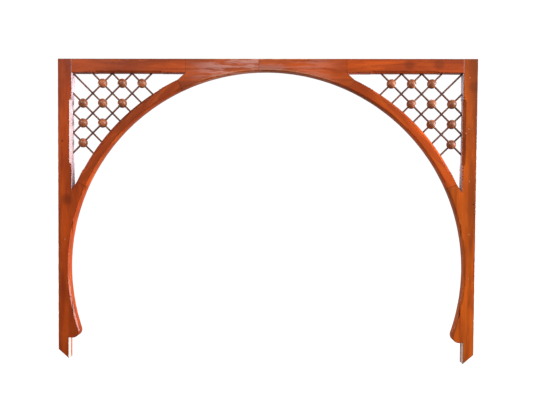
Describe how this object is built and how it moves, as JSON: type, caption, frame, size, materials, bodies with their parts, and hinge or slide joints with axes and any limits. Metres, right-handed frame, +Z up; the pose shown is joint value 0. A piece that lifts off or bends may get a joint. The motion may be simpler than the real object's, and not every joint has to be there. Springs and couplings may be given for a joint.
{
  "type": "fretwork arch with ball-and-dowel spandrels",
  "caption": "Wooden horseshoe arch frame for a hall opening, with a ball-and-dowel lattice in each upper corner and mitred feet that fix to the jambs.",
  "frame": {"origin": "middle of the head rail's top face", "axes": "+X across the opening to the right, +Y through the thickness away from the front face, +Z up"},
  "size_m": [1.52, 0.04, 1.1012],
  "materials": {
    "left_post_wood": "satin varnish",
    "right_post_wood": "satin varnish",
    "rail_wood": "satin varnish",
    "crown_wood": "satin varnish",
    "rib_wood": "satin varnish",
    "ball_wood": "satin varnish",
    "dowel_wood": "satin varnish"
  },
  "bodies": {
    "root": {"left_post": "left_post_wood", "right_post": "right_post_wood", "left_rail": "rail_wood", "right_rail": "rail_wood", "left_crown_board": "crown_wood", "right_crown_board": "crown_wood", "left_haunch": "rib_wood", "right_haunch": "rib_wood", "left_upper_bracket": "rib_wood", "right_upper_bracket": "rib_wood", "left_nose_bracket": "rib_wood", "right_nose_bracket": "rib_wood", "left_balls": "ball_wood", "right_balls": "ball_wood", "left_falling_dowel_1": "dowel_wood", "left_falling_dowel_2": "dowel_wood", "left_falling_dowel_3": "dowel_wood", "left_falling_dowel_4": "dowel_wood", "left_falling_dowel_5": "dowel_wood", "left_falling_dowel_6": "dowel_wood", "left_falling_dowel_7": "dowel_wood", "left_rising_dowel_1": "dowel_wood", "left_rising_dowel_2": "dowel_wood", "left_rising_dowel_3": "dowel_wood", "right_falling_dowel_1": "dowel_wood", "right_falling_dowel_2": "dowel_wood", "right_falling_dowel_3": "dowel_wood", "right_falling_dowel_4": "dowel_wood", "right_falling_dowel_5": "dowel_wood", "right_falling_dowel_6": "dowel_wood", "right_falling_dowel_7": "dowel_wood", "right_rising_dowel_1": "dowel_wood", "right_rising_dowel_2": "dowel_wood", "right_rising_dowel_3": "dowel_wood"}
  },
  "joints": []
}
